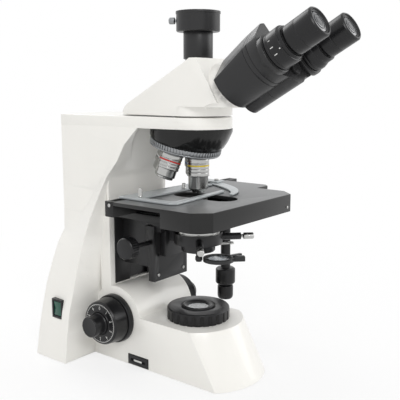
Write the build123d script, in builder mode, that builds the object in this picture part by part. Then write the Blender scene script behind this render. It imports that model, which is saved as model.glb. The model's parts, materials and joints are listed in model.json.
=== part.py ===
from build123d import *

import os
from math import cos, hypot, radians, sin, tan

os.makedirs("parts", exist_ok=True)

# Frame: the optical axis is x = 0, y = 0, the table is z = 0, and the user sits on the -Y side.

# Clearances
running = 0.05          # radial play of a shaft in its bore
slide_gap = 0.3         # between faces that pass each other
seat = 0.1              # round a piece that drops into its recess

# Foot
foot_standoff = 1.0
nose_half = 46.7
nose_top = 59.4
nose_top_r, nose_top_y = 54.4, 4.1
nose_bottom_r, nose_bottom_y = 65.2, -13.1
foot_half = 92.4
foot_front_y = 123.0
rear_y = 175.0
cover_thickness = 3.0
cover_half = nose_half - 6.7
hollow_half = nose_half - 12.7
cover_front_y, cover_back_y = -40.0, 164.0
foot_pad_r, foot_pad_depth = 9.0, 4.0
pad_in, pad_out = nose_half - 14.7, foot_half - 16.4
pad_spots = [(-pad_in, -30.0), (pad_in, -30.0), (-pad_out, 152.0), (pad_out, 152.0)]

# Arm
arm_half = 42.0
arm_top = 273.0
shoulder_z = 146.0
column_front_y = 92.3
scoop_r = 41.5
scoop_low = (column_front_y, 196.0)
scoop_high = (80.0, arm_top)
plate_thickness = 12.5
plate_front_r = 37.0
head_gap = 1.5

# Focus drive, along X
focus_y, focus_z = 84.4, 53.0
hub_r = 37.5
collar_r, collar_width = 28.5, 7.0
coarse_r, coarse_width = 24.2, 19.0
fine_r, fine_length = 12.0, 16.0
coarse_shaft_r, fine_shaft_r = 9.0, 4.0

# Guide on the column and the stage bracket that slides on it
guide_half, guide_bottom, guide_top = 39.0, 91.0, 190.0
guide_face_y, guide_depth = 91.5, 8.0
tail_half_in, tail_half_out, tail_depth = 15.0, 19.0, 5.0
web_outer, web_wall = 26.0, 6.5
web_bottom, web_step_z, web_front_y = 114.5, 157.0, 32.5
bracket_top = 174.0

# Stage
stage_top = 198.6
stage_thickness = 4.0
stage_left, stage_right, stage_front, stage_back = -86.7, 88.0, -74.4, 45.0
corner_x, corner_y = 15.0, 17.0
wing_right, wing_front = 117.0, -20.0
apron_depth, apron_wall = 19.7, 3.0
window_half, window_front, window_back = 16.0, -49.5, 30.0
base_thickness, base_half, base_front, base_back = 7.5, 52.0, -44.5, 84.0
way_x, way_half, way_back = 44.0, 4.0, 18.0
rail_right, rail_depth, rail_bottom = 139.0, 12.0, 182.0

# Slide holder
holder_z = stage_top + 0.5
holder_thickness = 2.2
finger_pivot = (82.0, 36.0)
left_pin, right_pin = (-57.0, 33.7), (16.0, 33.5)

# Coaxial stage control
control_x, control_y = 105.2, 38.0
control_top, control_split, control_bottom = 88.0, 65.0, 46.0
control_upper_r, control_lower_r, control_shaft_r, control_core_r = 12.6, 10.1, 6.2, 2.5

# Condenser
carrier_half, carrier_front, carrier_back = 29.0, 40.0, 49.0
carrier_bottom = 99.0
condenser_knob_z, condenser_knob_y, condenser_knob_r = 144.5, 46.2, 12.0
holder_ring_r, holder_ring_low, holder_ring_high = 27.0, 146.0, 158.0
condenser_r = 19.0
condenser_low, condenser_high = 137.0, 190.0
centring_z = 152.0
lever_rest, lever_swing, lever_play = -30.0, 38.0, 9.5
filter_pivot, filter_centre, filter_z = (-11.0, -9.5), (-1.0, -29.0), 129.5

# Nosepiece and objectives
turret_tilt = 14.0
turret_offset = 20.0
seat_z = 241.0
shell_r = 37.5
turret_r, turret_top_h, turret_low_h = 40.0, -11.0, -4.0
objective_r = 12.1
positions = 4

# Head
head_bottom = arm_top + plate_thickness + head_gap
head_half = 37.0
tube_tilt = 30.0
eye_x, eye_y, eye_z = 31.25, -161.0, 374.5
hinge_w = -12.0
head_face_s, housing_back_s, housing_front_s = -131.0, -118.0, -58.0
lobe_x, lobe_w, lobe_r = 16.5, 7.0, 29.0
disc_r = 16.5
swing_in, swing_out = 18.0, 15.0
eyepiece_r, eyepiece_length = 15.2, 31.0
sleeve_r = 16.5
photo_tube_r, photo_tube_low, photo_tube_length, photo_flange_length = 15.7, 346.0, 28.1, 21.0
photo_flange_low = photo_tube_low + photo_tube_length
photo_top = photo_flange_low + photo_flange_length
photo_flange_r, photo_bore_r, photo_bore_depth = 23.2, 19.0, 16.0

# Light and electrics
collar_ring_r, collar_ring_top, flutes = 35.3, 72.9, 24
lens_mount_r, lens_mount_top, lens_r = 17.6, 74.0, 12.0
lamp_y = 15.0
switch_y, switch_z = 144.5, 60.5
slider_y, slider_z = 50.5, 7.8
inlet_x, inlet_z = 34.0, 30.0

optical_axis = Axis.Z
focus_plane = Plane(origin=(0, focus_y, focus_z), x_dir=(0, 1, 0), z_dir=(1, 0, 0))


def lengthwise(plane):
    """The plane through the given plane's normal, with local x outwards and local y along the normal."""
    return Plane(origin=plane.origin, x_dir=plane.x_dir, z_dir=-plane.y_dir)


def turned(plane, points, mode=Mode.ADD):
    """Revolve a closed outline of (radius, height) points about the plane's normal."""
    with BuildSketch(lengthwise(plane)) as outline:
        with BuildLine():
            Polyline(*points, close=True)
        make_face()
    revolve(outline.sketch, axis=Axis(plane.origin, plane.z_dir), mode=mode)


def disc(plane, radius, low, high, mode=Mode.ADD):
    """A round bar between two heights on the plane's normal."""
    with BuildSketch(plane.offset(low)) as circle:
        Circle(radius)
    extrude(circle.sketch, amount=high - low, mode=mode)


def block(low, high, mode=Mode.ADD):
    """A rectangular block between two opposite corners."""
    with BuildSketch(Plane.XY.offset(low[2])) as area:
        with Locations(((low[0] + high[0]) / 2, (low[1] + high[1]) / 2)):
            Rectangle(high[0] - low[0], high[1] - low[1])
    extrude(area.sketch, amount=high[2] - low[2], mode=mode)


def outline_prism(plane, points, thickness, mode=Mode.ADD, both=False):
    """A closed outline of local points, extruded along the plane's normal."""
    with BuildSketch(plane) as area:
        with BuildLine():
            Polyline(*points, close=True)
        make_face()
    extrude(area.sketch, amount=thickness, both=both, mode=mode)


def upright(x, y, z=0.0):
    """A horizontal plane with its origin at the given point."""
    return Plane(origin=(x, y, z), x_dir=(1, 0, 0), z_dir=(0, 0, 1))


def along_x(y, z, x=0.0):
    """A plane across X, with its normal towards +X."""
    return Plane(origin=(x, y, z), x_dir=(0, 1, 0), z_dir=(1, 0, 0))


tilt = radians(tube_tilt)
tube_direction = Vector(0, -cos(tilt), sin(tilt))
tube_up = Vector(0, sin(tilt), cos(tilt))


def across_tubes(s, x=0.0, w=0.0):
    """A plane across the eyepiece tubes, s along them from the eye end, w above their centre line."""
    origin = Vector(x, eye_y, eye_z) + tube_direction * s + tube_up * w
    return Plane(origin=origin, x_dir=(1, 0, 0), z_dir=tube_direction)


lean = radians(turret_tilt)
turret_down = Vector(0, sin(lean), -cos(lean))
turret_back = Vector(0, cos(lean), sin(lean))
turret_centre = Vector(0, 0, seat_z) + turret_back * turret_offset


def across_turret(h):
    """A plane across the nosepiece axis, h below the objective seats."""
    return Plane(origin=turret_centre + turret_down * h, x_dir=(1, 0, 0), z_dir=turret_down)


def objective_plane(place):
    """The seat plane of one objective, with its normal along the objective."""
    turn = radians(360 / positions * place)
    outward = turret_back * -cos(turn) + Vector(-1, 0, 0) * sin(turn)
    direction = turret_down * cos(lean) + outward * sin(lean)
    sideways = outward.cross(turret_down)
    return Plane(origin=turret_centre + outward * turret_offset, x_dir=sideways, z_dir=direction)


# Foot, hub and arm in one casting. Each arm section is given at a height by the rear corner, the
# middle of the flare, the cheek's front edge and the foot of the cheek beside the column.
arm_lower = [
    (foot_standoff, (91.9, rear_y), (92.6, 149.0), (92.4, 123.0), (nose_half, 122.0)),
    (35.4, (85.7, rear_y), (87.2, 148.5), (88.7, 122.3), (nose_half, 120.0)),
    (60.0, (79.8, rear_y), (82.4, 148.2), (85.3, 121.6), (nose_half, 116.0)),
    (84.0, (73.2, rear_y), (76.9, 147.8), (80.0, 120.0), (nose_half, 112.0)),
    (108.0, (63.9, rear_y), (69.9, 146.0), (75.4, 118.0), (nose_half, 109.5)),
    (131.0, (53.5, rear_y), (62.4, 145.0), (70.2, 115.6), (nose_half, 107.0)),
    (shoulder_z, (42.8, rear_y), (54.6, 145.0), (67.4, 112.6), (nose_half, 105.0)),
]
arm_upper = [
    (shoulder_z, (42.8, rear_y), (54.6, 145.0), (67.4, 112.6), (nose_half, 105.0)),
    (171.0, (arm_half, rear_y), (arm_half + 4.6, 137.0), (arm_half + 22.3, 105.0), (nose_half, 101.0)),
    (200.0, (arm_half, rear_y), (arm_half + 1.0, 118.0), (arm_half + 14.0, 96.6), (nose_half, 95.5)),
    (218.0, (arm_half, rear_y), (arm_half + 0.4, 105.0), (arm_half + 8.2, 90.8), (arm_half + 2.0, 91.0)),
    (235.0, (arm_half, rear_y), (arm_half, 95.0), (arm_half + 3.0, 80.0), (arm_half - 2.0, 80.4)),
    (254.0, (arm_half, rear_y), (arm_half, 85.0), (arm_half + 0.3, 71.0), (arm_half - 4.0, 71.2)),
    (arm_top, (arm_half, rear_y), (arm_half, 75.0), (arm_half + 0.2, 51.0), (arm_half - 4.0, 51.2)),
]


def arm_section(z, *half):
    """One horizontal section of the arm, drawn round from the rear."""
    with BuildSketch(Plane.XY.offset(z)) as section:
        with BuildLine():
            Polyline(*half, *[(-x, y) for x, y in reversed(half)], close=True)
        make_face()
    return section.sketch


with BuildPart() as stand_casting:
    with BuildSketch(Plane.XY.offset(foot_standoff)) as nose_low:
        with Locations((0, nose_bottom_y)):
            Circle(nose_bottom_r)
    with BuildSketch(Plane.XY.offset(nose_top)) as nose_high:
        with Locations((0, nose_top_y)):
            Circle(nose_top_r)
    loft([nose_low.sketch, nose_high.sketch])
    block((-nose_half, -100, foot_standoff), (nose_half, foot_front_y, nose_top), mode=Mode.INTERSECT)
    block((-nose_half, 0, foot_standoff), (nose_half, foot_front_y, nose_top))
    disc(focus_plane, hub_r, -nose_half, nose_half)
    for levels in (arm_lower, arm_upper):
        loft([arm_section(*level) for level in levels], ruled=True)
    block((-nose_half, column_front_y, foot_standoff), (nose_half, 108, 171))
    block((-nose_half, column_front_y, 171), (nose_half, 95.6, 215))
    # The hollow under the head, between two thin lips.
    low_y, low_z = scoop_low
    high_y, high_z = scoop_high
    rise = hypot(high_y - low_y, high_z - low_z)
    scoop_plane = Plane(
        origin=(0, low_y - scoop_r, low_z), x_dir=(1, 0, 0), z_dir=(0, high_y - low_y, high_z - low_z)
    )
    disc(scoop_plane, scoop_r, 0, rise + 20, mode=Mode.SUBTRACT)
    # The bed of the guide plate in the column's front.
    block(
        (-guide_half - seat, guide_face_y - 5, guide_bottom - seat),
        (guide_half + seat, guide_face_y + guide_depth, guide_top + seat),
        mode=Mode.SUBTRACT,
    )
    # The hollow foot, its cover's recess and the light's way up.
    block(
        (-cover_half - seat, cover_front_y - seat, foot_standoff),
        (cover_half + seat, cover_back_y + seat, foot_standoff + cover_thickness),
        mode=Mode.SUBTRACT,
    )
    block((-hollow_half, -34, foot_standoff), (hollow_half, 36, 50), mode=Mode.SUBTRACT)
    block((-hollow_half, 128, foot_standoff), (hollow_half, 156, 50), mode=Mode.SUBTRACT)
    disc(Plane.XY, lens_mount_r + 6.4, 45, nose_top + 1, mode=Mode.SUBTRACT)
    disc(focus_plane, coarse_shaft_r + running, -nose_half - 1, nose_half + 1, mode=Mode.SUBTRACT)
    # Seats of the pads, the switch, the brightness control and the mains inlet.
    for pad_x, pad_y in pad_spots:
        if abs(pad_x) > cover_half:
            disc(upright(pad_x, pad_y), foot_pad_r + seat, 0, foot_pad_depth, mode=Mode.SUBTRACT)
    block((-120, switch_y - 9.1, switch_z - 11.6), (-75, switch_y + 9.1, switch_z + 11.6), mode=Mode.SUBTRACT)
    block(
        (-nose_half - 1, slider_y - 15.6, slider_z - 6.1),
        (-nose_half + 2.5, slider_y + 15.6, slider_z + 6.1),
        mode=Mode.SUBTRACT,
    )
    block((inlet_x - 13.6, 150, inlet_z - 10.1), (inlet_x + 13.6, rear_y + 1, inlet_z + 10.1), mode=Mode.SUBTRACT)
stand_casting.part.label = "stand_casting"
export_step(stand_casting.part, "parts/stand_casting.step")

with BuildPart() as base_cover:
    block(
        (-cover_half, cover_front_y, foot_standoff),
        (cover_half, cover_back_y, foot_standoff + cover_thickness),
    )
    for pad_x, pad_y in pad_spots:
        if abs(pad_x) < cover_half:
            disc(upright(pad_x, pad_y), foot_pad_r - 4 + seat, 0, 10, mode=Mode.SUBTRACT)
    with BuildSketch(Plane.XY) as vents:
        with GridLocations(7, 1, 5, 1):
            with Locations((0, -18)):
                SlotOverall(24, 3, rotation=90)
    extrude(vents.sketch, amount=10, mode=Mode.SUBTRACT)
    # The lamp's socket.
    disc(upright(0, lamp_y), 9, foot_standoff + cover_thickness, 24)
    disc(upright(0, lamp_y), 4.5 + seat, 14, 25, mode=Mode.SUBTRACT)
base_cover.part.label = "base_cover"
export_step(base_cover.part, "parts/base_cover.step")

with BuildPart() as rubber_feet:
    for pad_x, pad_y in pad_spots:
        if abs(pad_x) > cover_half:
            disc(upright(pad_x, pad_y), foot_pad_r, 0, foot_pad_depth)
        else:
            disc(upright(pad_x, pad_y), foot_pad_r - 4, 0, foot_standoff + cover_thickness)
            disc(upright(pad_x, pad_y), foot_pad_r, 0, foot_standoff)
rubber_feet.part.label = "rubber_feet"
export_step(rubber_feet.part, "parts/rubber_feet.step")

# Top plate of the arm, which carries the head above and the nosepiece below.
with BuildPart() as arm_top_plate:
    with BuildSketch(Plane.XY.offset(arm_top)) as plate_outline:
        with BuildLine():
            Line((-arm_half, rear_y), (arm_half, rear_y))
            Line((arm_half, rear_y), (arm_half, 51))
            Line((arm_half, 51), (plate_front_r, 0))
            ThreePointArc((plate_front_r, 0), (0, -plate_front_r), (-plate_front_r, 0))
            Line((-plate_front_r, 0), (-arm_half, 51))
            Line((-arm_half, 51), (-arm_half, rear_y))
        make_face()
    extrude(plate_outline.sketch, amount=plate_thickness)
    fillet(edges().group_by(Axis.Z)[-1], 1.2)
    disc(Plane.XY, 20.0, arm_top - 1, arm_top + plate_thickness + 1, mode=Mode.SUBTRACT)
    disc(Plane.XY, 28.0, arm_top + 6, arm_top + plate_thickness + 1, mode=Mode.SUBTRACT)
    disc(
        Plane(origin=(0, 0, arm_top + 8), x_dir=(0, 0, 1), z_dir=(1, -0.35, 0)), 2.5, 25, 45, mode=Mode.SUBTRACT
    )
arm_top_plate.part.label = "arm_top_plate"
export_step(arm_top_plate.part, "parts/arm_top_plate.step")

with BuildPart() as head_lock_screw:
    lock_plane = Plane(origin=(0, 0, arm_top + 8), x_dir=(0, 0, 1), z_dir=(1, -0.35, 0))
    # The screw is drawn released, so that the head can turn.
    disc(lock_plane, 2.5 - running, 33.0, 38.2)
    turned(lock_plane, [(0, 38.2), (4.0, 38.2), (4.0, 42.5), (3.2, 43.3), (0, 43.3)])
head_lock_screw.part.label = "head_lock_screw"
export_step(head_lock_screw.part, "parts/head_lock_screw.step")

with BuildPart() as guide_plate:
    block(
        (-guide_half, guide_face_y, guide_bottom),
        (guide_half, guide_face_y + guide_depth, guide_top),
    )
    groove = slide_gap
    outline_prism(
        Plane.XY.offset(guide_bottom - 1),
        [
            (-tail_half_in - groove, guide_face_y - 1),
            (-tail_half_in - groove, guide_face_y),
            (-tail_half_out - groove, guide_face_y + tail_depth + groove),
            (tail_half_out + groove, guide_face_y + tail_depth + groove),
            (tail_half_in + groove, guide_face_y),
            (tail_half_in + groove, guide_face_y - 1),
        ],
        guide_top - guide_bottom + 2,
        mode=Mode.SUBTRACT,
    )
guide_plate.part.label = "guide_plate"
export_step(guide_plate.part, "parts/guide_plate.step")

# Focus drive: tension ring, coarse knobs on a sleeve and fine knobs on the spindle inside it.
for side, name in ((-1, "tension_ring"), (1, "focus_collar")):
    with BuildPart() as ring:
        turned(
            focus_plane,
            [
                (coarse_shaft_r + slide_gap, side * (nose_half + slide_gap)),
                (collar_r, side * (nose_half + slide_gap)),
                (collar_r, side * (nose_half + collar_width - 1)),
                (collar_r - 1, side * (nose_half + collar_width)),
                (coarse_shaft_r + slide_gap, side * (nose_half + collar_width)),
            ],
        )
    ring.part.label = name
    export_step(ring.part, f"parts/{name}.step")

coarse_in = nose_half + collar_width + slide_gap
coarse_out = coarse_in + coarse_width
with BuildPart() as coarse_knobs:
    for side in (-1, 1):
        turned(
            focus_plane,
            [
                (fine_shaft_r + running, side * 5),
                (coarse_shaft_r, side * 5),
                (coarse_shaft_r, side * coarse_in),
                (coarse_r - 0.8, side * coarse_in),
                (coarse_r + 0.6, side * (coarse_in + 1)),
                (coarse_r + 0.6, side * (coarse_out - 2.5)),
                (coarse_r, side * (coarse_out - 1.5)),
                (coarse_r - 0.8, side * coarse_out),
                (fine_r + 1.2, side * coarse_out),
                (fine_r + 1.2, side * (coarse_out - 2.0)),
                (fine_shaft_r + running, side * (coarse_out - 2.0)),
            ],
        )
        # Grip flutes.
        with BuildSketch(focus_plane.offset(side * (coarse_in + 2.5))) as grip:
            with PolarLocations(coarse_r + 1.4, 30):
                Circle(1.3)
        extrude(grip.sketch, amount=side * (coarse_width - 6.5), mode=Mode.SUBTRACT)
    disc(focus_plane, coarse_shaft_r, -5, 5)
    disc(focus_plane, fine_shaft_r + running, -6, 6, mode=Mode.SUBTRACT)
coarse_knobs.part.label = "coarse_knobs"
export_step(coarse_knobs.part, "parts/coarse_knobs.step")

fine_in = coarse_out - 2.0 + slide_gap
with BuildPart() as fine_knobs:
    for side in (-1, 1):
        turned(
            focus_plane,
            [
                (0, side * fine_in),
                (fine_r, side * fine_in),
                (fine_r, side * (fine_in + fine_length)),
                (fine_r - 1.2, side * (fine_in + fine_length + 1.2)),
                (0, side * (fine_in + fine_length + 1.2)),
            ],
        )
        with BuildSketch(focus_plane.offset(side * (fine_in + 4))) as grip:
            with PolarLocations(fine_r + 0.5, 24):
                Circle(0.9)
        extrude(grip.sketch, amount=side * (fine_length - 4), mode=Mode.SUBTRACT)
    disc(focus_plane, fine_shaft_r, -fine_in - 1, fine_in + 1)
fine_knobs.part.label = "fine_knobs"
export_step(fine_knobs.part, "parts/fine_knobs.step")

# Light in the foot.
with BuildPart() as field_lens_mount:
    turned(
        Plane.XY,
        [
            (lens_r, 46),
            (lens_mount_r + 6.3, 46),
            (lens_mount_r + 6.3, nose_top + 4.5),
            (lens_mount_r, nose_top + 4.5),
            (lens_mount_r, lens_mount_top),
            (lens_mount_r - 1.6, lens_mount_top + 0.6),
            (lens_r + seat, lens_mount_top - 1.2),
            (lens_r + seat, lens_mount_top - 4.5),
            (lens_r - 1.5, lens_mount_top - 4.5),
            (lens_r - 1.5, 46),
        ],
    )
field_lens_mount.part.label = "field_lens_mount"
export_step(field_lens_mount.part, "parts/field_lens_mount.step")

with BuildPart() as field_lens:
    disc(Plane.XY, lens_r, lens_mount_top - 4.5, lens_mount_top - 2.0)
field_lens.part.label = "field_lens"
export_step(field_lens.part, "parts/field_lens.step")

with BuildPart() as field_collar:
    ring_bottom = nose_top + slide_gap
    turned(
        Plane.XY,
        [
            (lens_mount_r + 6.3 + slide_gap, ring_bottom),
            (collar_ring_r, ring_bottom),
            (collar_ring_r, collar_ring_top - 1.2),
            (collar_ring_r - 1.2, collar_ring_top),
            (lens_mount_r + 3.0, collar_ring_top),
            (lens_mount_r + slide_gap, collar_ring_top - 2.4),
            (lens_mount_r + slide_gap, nose_top + 4.5 + slide_gap),
            (lens_mount_r + 6.3 + slide_gap, nose_top + 4.5 + slide_gap),
        ],
    )
    with BuildSketch(Plane.XY.offset(nose_top)) as grip:
        with PolarLocations(collar_ring_r + 1.6, flutes):
            Circle(2.6)
    extrude(grip.sketch, amount=collar_ring_top - nose_top - 2.2, mode=Mode.SUBTRACT)
field_collar.part.label = "field_collar"
export_step(field_collar.part, "parts/field_collar.step")

with BuildPart() as lamp:
    turned(upright(0, lamp_y), [(0, 14), (4.5, 14), (4.5, 26), (5.5, 29), (5.5, 35), (3, 38.5), (0, 39.5)])
lamp.part.label = "lamp"
export_step(lamp.part, "parts/lamp.step")

# Electrics: rocker switch, brightness slider and mains inlet.
cheek_x = -83.0
with BuildPart() as switch_bezel:
    block((cheek_x - 1.0, switch_y - 9, switch_z - 11.5), (-75.0, switch_y + 9, switch_z + 11.5))
    block((cheek_x - 2.0, switch_y - 6.5, switch_z - 9), (-76.5, switch_y + 6.5, switch_z + 9), mode=Mode.SUBTRACT)
switch_bezel.part.label = "switch_bezel"
export_step(switch_bezel.part, "parts/switch_bezel.step")

with BuildPart() as switch_rocker:
    outline_prism(
        Plane(origin=(cheek_x + 2.5, switch_y, switch_z), x_dir=(1, 0, 0), z_dir=(0, -1, 0)),
        [(2.6, -5.5), (2.6, 5.5), (-1.6, 8.4), (-3.0, 8.2), (-2.2, 0), (-3.0, -8.2), (-1.6, -8.4)],
        6.0,
        both=True,
    )
switch_rocker.part.label = "switch_rocker"
export_step(switch_rocker.part, "parts/switch_rocker.step")

with BuildPart() as brightness_plate:
    block(
        (-nose_half - 0.6, slider_y - 15.5, slider_z - 6),
        (-nose_half + 2.5, slider_y + 15.5, slider_z + 6),
    )
    block(
        (-nose_half - 1, slider_y - 11, slider_z - 1.6),
        (-nose_half + 1.6, slider_y + 11, slider_z + 1.6),
        mode=Mode.SUBTRACT,
    )
brightness_plate.part.label = "brightness_plate"
export_step(brightness_plate.part, "parts/brightness_plate.step")

with BuildPart() as brightness_slider:
    block(
        (-nose_half - 2.4, slider_y - 2.5, slider_z - 1.3),
        (-nose_half + 1.3, slider_y + 2.5, slider_z + 1.3),
    )
brightness_slider.part.label = "brightness_slider"
export_step(brightness_slider.part, "parts/brightness_slider.step")

with BuildPart() as mains_inlet:
    block((inlet_x - 13.5, rear_y - 22, inlet_z - 10), (inlet_x + 13.5, rear_y + 1.5, inlet_z + 10))
    block((inlet_x - 10.5, rear_y - 17, inlet_z - 7), (inlet_x + 10.5, rear_y + 2, inlet_z + 7), mode=Mode.SUBTRACT)
    for pin_x in (-5.5, 0.0, 5.5):
        pin_z = 2.0 if pin_x == 0 else -1.0
        block(
            (inlet_x + pin_x - 0.8, rear_y - 18, inlet_z + pin_z - 1.6),
            (inlet_x + pin_x + 0.8, rear_y - 3, inlet_z + pin_z + 1.6),
        )
mains_inlet.part.label = "mains_inlet"
export_step(mains_inlet.part, "parts/mains_inlet.step")

# Stage bracket: two webs on a dovetail that runs in the guide plate.
bracket_face = guide_face_y - slide_gap
with BuildPart() as stage_bracket:
    block((-24, 82, web_bottom), (24, bracket_face, bracket_top))
    outline_prism(
        Plane.XY.offset(web_bottom),
        [
            (-tail_half_in, bracket_face - 1),
            (-tail_half_in, guide_face_y),
            (-tail_half_out, guide_face_y + tail_depth),
            (tail_half_out, guide_face_y + tail_depth),
            (tail_half_in, guide_face_y),
            (tail_half_in, bracket_face - 1),
        ],
        bracket_top - web_bottom,
    )
    side_outline = [
        (bracket_face, web_bottom),
        (bracket_face, bracket_top),
        (web_front_y, bracket_top),
        (web_front_y, web_step_z),
        (carrier_back, web_step_z),
        (carrier_back, web_bottom),
    ]
    for side in (-1, 1):
        plane = Plane(origin=(side * web_outer, 0, 0), x_dir=(0, 1, 0), z_dir=(1, 0, 0))
        outline_prism(plane, side_outline, -side * web_wall)
    disc(along_x(48.8, 162.2), 2.0, -web_outer - 1, web_outer + 1, mode=Mode.SUBTRACT)
stage_bracket.part.label = "stage_bracket"
export_step(stage_bracket.part, "parts/stage_bracket.step")

with BuildPart() as stage_base:
    block((-base_half, base_front, bracket_top), (base_half, base_back, bracket_top + base_thickness))
    for side in (-1, 1):
        block(
            (side * way_x - way_half, base_front, bracket_top + base_thickness),
            (side * way_x + way_half, way_back, stage_top - stage_thickness - slide_gap),
        )
    disc(Plane.XY, 22, bracket_top - 1, bracket_top + base_thickness + 1, mode=Mode.SUBTRACT)
    # The arm to the Y rack.
    block((base_half, 32, bracket_top), (control_x - 11.0, 44, rail_bottom - 1.5))
    block(
        (control_x - 11.0, 2, bracket_top),
        (control_x - control_shaft_r - 2.3, 74, rail_bottom - 1.5),
    )
stage_base.part.label = "stage_base"
export_step(stage_base.part, "parts/stage_base.step")

# Upper plate, which slides along Y, with its apron and the wing for the control.
plate_low = stage_top - stage_thickness
front_edge = [
    (stage_left, stage_back),
    (stage_left, stage_front + corner_y),
    (stage_left + corner_x, stage_front),
    (stage_right - corner_x, stage_front),
    (stage_right, stage_front + corner_y),
    (stage_right, wing_front),
]
with BuildPart() as stage_plate:
    outline_prism(
        Plane.XY.offset(plate_low),
        front_edge + [(wing_right - 6, wing_front), (wing_right, wing_front + 6), (wing_right, stage_back)],
        stage_thickness,
    )
    fillet(edges().filter_by(Plane.XY).group_by(Axis.Z)[-1], 0.6)
    # Apron round the front and a short way along both sides.
    with BuildSketch(Plane.XY.offset(stage_top - apron_depth)) as apron:
        with BuildLine():
            Polyline(
                (stage_left, wing_front),
                (stage_left, stage_front + corner_y),
                (stage_left + corner_x, stage_front),
                (stage_right - corner_x, stage_front),
                (stage_right, stage_front + corner_y),
                (stage_right, wing_front - 10),
                (stage_right - apron_wall, wing_front - 10),
                (stage_right - apron_wall, stage_front + corner_y + 1.4),
                (stage_right - corner_x - 1.4, stage_front + apron_wall),
                (stage_left + corner_x + 1.4, stage_front + apron_wall),
                (stage_left + apron_wall, stage_front + corner_y + 1.4),
                (stage_left + apron_wall, wing_front),
                close=True,
            )
        make_face()
    extrude(apron.sketch, amount=apron_depth - stage_thickness)
    # Strips that hold the plate on the ways of the base.
    for side in (-1, 1):
        centre = side * (way_x + way_half + slide_gap + 4)
        block(
            (centre - 4, base_front, bracket_top + base_thickness + slide_gap),
            (centre + 4, way_back - 25, plate_low),
        )
    # The bearing of the coaxial control under the wing.
    block((control_x - 12, control_y - 12, rail_bottom), (wing_right - 0.5, stage_back, plate_low))
    disc(
        upright(control_x, control_y), control_shaft_r + running, rail_bottom - 1, plate_low - 0.2, mode=Mode.SUBTRACT
    )
    # The light's long window.
    with BuildSketch(Plane.XY.offset(plate_low - 1)) as window:
        with Locations((0, (window_front + window_back) / 2)):
            SlotOverall(window_back - window_front, 2 * window_half, rotation=90)
    extrude(window.sketch, amount=stage_thickness + 2, mode=Mode.SUBTRACT)
stage_plate.part.label = "stage_plate"
export_step(stage_plate.part, "parts/stage_plate.step")

groove_half, groove_low = 3.0, 190.0
rail_y = stage_back + rail_depth / 2
with BuildPart() as x_rail:
    block((stage_left, stage_back, rail_bottom), (rail_right, stage_back + rail_depth, stage_top))
    block(
        (stage_left + 6, rail_y - groove_half, groove_low),
        (rail_right - 6, rail_y + groove_half, stage_top + 1),
        mode=Mode.SUBTRACT,
    )
x_rail.part.label = "x_rail"
export_step(x_rail.part, "parts/x_rail.step")

# Carriage that runs in the rail, with the slide holder on top.
carriage_left, carriage_right = -42.0, 60.0
with BuildPart() as x_carriage:
    block(
        (carriage_left, rail_y - groove_half + slide_gap, groove_low + slide_gap),
        (carriage_right, rail_y + groove_half - slide_gap, holder_z),
    )
x_carriage.part.label = "x_carriage"
export_step(x_carriage.part, "parts/x_carriage.step")

with BuildPart() as slide_holder:
    outline_prism(
        Plane.XY.offset(holder_z),
        [
            (-68, 55),
            (-67, -15),
            (-61.7, -21.2),
            (32, -11.9),
            (35.7, -6.1),
            (-54, -12.5),
            (-57.5, -9.5),
            (-57.5, 27),
            (-50, 30),
            (66, 30),
            (66, 44),
            (92, 44),
            (92, 55),
        ],
        holder_thickness,
    )
    # The raised ear over the finger's eye.
    ear_z = holder_z + holder_thickness
    block((74, 44, ear_z), (90, 55, ear_z + 0.3))
    block((74, 29, ear_z + 0.3), (90, 55, ear_z + 1.8))
    pivot = upright(*finger_pivot)
    disc(pivot, 2.0, holder_z + 0.2, ear_z + 1.8)
slide_holder.part.label = "slide_holder"
export_step(slide_holder.part, "parts/slide_holder.step")

with BuildPart() as holder_screws:
    for (pin_x, pin_y), top in ((left_pin, 211.0), (right_pin, 208.0)):
        spot = upright(pin_x, pin_y)
        turned(
            spot,
            [(0, ear_z), (2.6, ear_z), (2.6, ear_z + 1), (2.2, ear_z + 1.5), (2.2, top - 0.5), (1.7, top), (0, top)],
        )
    disc(upright(*finger_pivot), 2.8, ear_z + 1.8, ear_z + 4.0)
holder_screws.part.label = "holder_screws"
export_step(holder_screws.part, "parts/holder_screws.step")

with BuildPart() as spring_finger:
    with BuildSketch(Plane.XY.offset(holder_z + 0.2)) as finger:
        with BuildLine():
            Spline((86, 33), (70, 4), (50, -19), (20, -32))
            Line((20, -32), (19, -28.5))
            Spline((19, -28.5), (44, -10), (58, 10), (73, 38))
            ThreePointArc((73, 38), (82, 43.3), (86, 33))
        make_face()
    extrude(finger.sketch, amount=holder_thickness - 0.2 - 0.1)
    disc(upright(*finger_pivot), 2.0 + running, 190, 210, mode=Mode.SUBTRACT)
spring_finger.part.label = "spring_finger"
export_step(spring_finger.part, "parts/spring_finger.step")

# Coaxial control: the Y knob on a tube, the X knob on the spindle inside it.
control = upright(control_x, control_y)
with BuildPart() as y_drive_knob:
    turned(
        control,
        [
            (control_core_r + running, control_split + slide_gap),
            (control_upper_r - 1, control_split + slide_gap),
            (control_upper_r, control_split + 1.3),
            (control_upper_r, control_top - 2.5),
            (control_upper_r - 2.5, control_top),
            (control_shaft_r, control_top),
            (control_shaft_r, 180.0),
            (control_shaft_r, plate_low - slide_gap),
            (control_core_r + running, plate_low - slide_gap),
        ],
    )
    with BuildSketch(Plane.XY.offset(control_split + 3)) as grip:
        with Locations((control_x, control_y)):
            with PolarLocations(control_upper_r + 0.5, 26):
                Circle(1.0)
    extrude(grip.sketch, amount=control_top - control_split - 7, mode=Mode.SUBTRACT)
y_drive_knob.part.label = "y_drive_knob"
export_step(y_drive_knob.part, "parts/y_drive_knob.step")

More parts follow.
